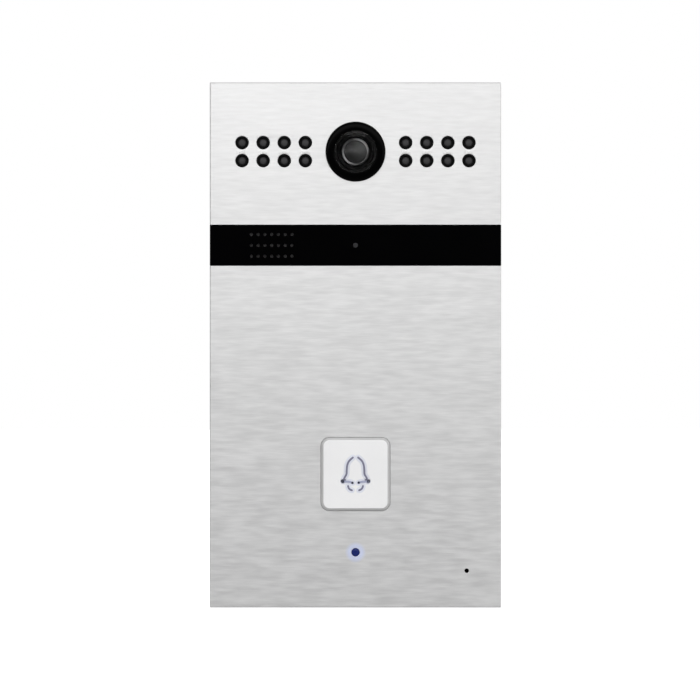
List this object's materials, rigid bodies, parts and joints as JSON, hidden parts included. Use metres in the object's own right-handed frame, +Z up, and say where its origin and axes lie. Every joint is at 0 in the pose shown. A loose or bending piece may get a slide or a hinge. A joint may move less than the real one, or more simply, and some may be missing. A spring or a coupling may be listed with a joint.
{
  "type": "door intercom panel",
  "caption": "Surface-mounted door intercom panel: brushed front, black reader strip, speaker and microphone, camera with night lamps, lit call button, wall bracket.",
  "frame": {"origin": "on the wall plane, behind the centre of the front panel", "axes": "+X to the right seen from the street, +Y into the wall, +Z up; the front faces -Y"},
  "size_m": [0.1042, 0.0392, 0.188],
  "materials": {
    "brushed_panel": "horizontally brushed, clear anodised",
    "black_glass": "polished black acrylic",
    "adhesive": "matte foam tape",
    "smoked_window": "smoked, polished",
    "dark_mesh": "fine woven mesh, blackened",
    "black_foam": "closed-cell foam",
    "zinc_steel": "zinc plated",
    "cone_paper": "moulded film",
    "magnet": "nickel plated",
    "black_abs": "fine texture",
    "bezel_black": "polished black",
    "black_rubber": "matte",
    "nut_aluminium": "turned, black anodised thread",
    "clear_glass": "clear, coated",
    "barrel_black": "satin black anodised",
    "lens_glass": "multi-coated",
    "filter_pane": "coated pane in a thin frame",
    "sensor": "iridescent die under glass",
    "green_board": "solder-masked fibreglass board",
    "brass_standoff": "bright",
    "screw_steel": "stainless",
    "lamp_lens": "dark infrared-passing epoxy",
    "white_board": "white solder mask",
    "button_white": "satin translucent white",
    "icon_blue": "printed and backlit",
    "silicone": "translucent silicone",
    "switch_black": "moulded",
    "switch_red": "moulded",
    "led_white": "phosphor under clear resin",
    "light_pipe": "blue-tinted light guide, lit",
    "led_blue": "clear resin",
    "microphone_metal": "drawn can",
    "copper": "etched copper under clear mask",
    "chip_black": "moulded packages and sockets",
    "heat_sink_black": "black anodised",
    "relay_blue": "moulded",
    "capacitor_can": "drawn can",
    "jack_metal": "nickel-plated shield",
    "terminal_green": "moulded",
    "case_black": "fine moulded texture",
    "bracket_steel": "galvanised",
    "wall_foam": "closed-cell foam",
    "wire_grey": "insulation and flat ribbon",
    "label_silver": "blank satin film"
  },
  "bodies": {
    "panel": {"front_panel": "brushed_panel", "reader_strip": "black_glass", "strip_tape": "adhesive", "light_sensor_window": "smoked_window", "speaker_mesh": "dark_mesh", "speaker_gasket": "black_foam", "speaker_basket": "zinc_steel", "speaker_cone": "cone_paper", "speaker_magnet": "magnet", "speaker_clamp": "black_abs", "camera_bezel": "bezel_black", "camera_o_ring": "black_rubber", "camera_bezel_nut": "nut_aluminium", "camera_glass": "clear_glass", "lens_barrel": "barrel_black", "lens_elements": "lens_glass", "lens_holder": "black_abs", "image_sensor": "sensor", "camera_board": "green_board", "standoffs": "brass_standoff", "camera_screws": "screw_steel", "lamp_sleeves_left": "black_abs", "lamp_sleeves_right": "black_abs", "night_lamps_left": "lamp_lens", "night_lamps_right": "lamp_lens", "lamp_board_left": "white_board", "lamp_board_right": "white_board", "button_membrane": "silicone", "button_frame": "black_abs", "switch_body": "switch_black", "button_lights": "led_white", "button_board": "green_board", "status_light_pipe": "light_pipe", "status_led": "led_blue", "microphone_boot": "black_rubber", "microphone": "microphone_metal", "reader_board": "green_board", "reader_antenna": "copper", "light_sensor": "chip_black", "main_board": "green_board", "board_chips": "chip_black", "heat_sink": "heat_sink_black", "relays": "relay_blue", "capacitors": "capacitor_can", "network_jack": "jack_metal", "terminal_headers": "terminal_green", "terminal_plugs": "terminal_green", "rear_housing": "case_black", "case_gasket": "black_foam", "case_screws": "screw_steel", "board_screws": "screw_steel", "wall_bracket": "bracket_steel", "wall_seal": "wall_foam", "security_screws": "screw_steel", "inner_cables": "wire_grey", "rating_label": "label_silver"},
    "call_button": {"call_button_cap": "button_white", "bell_icon": "icon_blue"},
    "switch_key": {"switch_plunger": "switch_red"},
    "filter_carriage": {"ir_cut_filter": "filter_pane"}
  },
  "joints": [
    {"name": "call_button_press", "type": "slide", "parent": "panel", "child": "call_button", "axis": [0, 1, 0], "range_m": [0, 0.0008], "stiffness_N_per_m": 2000, "deforming": ["button_membrane"]},
    {"name": "switch_plunger_press", "type": "slide", "parent": "panel", "child": "switch_key", "axis": [0, 1, 0], "range_m": [0, 0.00025]},
    {"name": "ir_cut_shift", "type": "slide", "parent": "panel", "child": "filter_carriage", "axis": [-1, 0, 0], "range_m": [0, 0.0064]}
  ],
  "couplings": [
    {"joint": "switch_plunger_press", "follows": "call_button_press", "ratio": 0.3125}
  ]
}
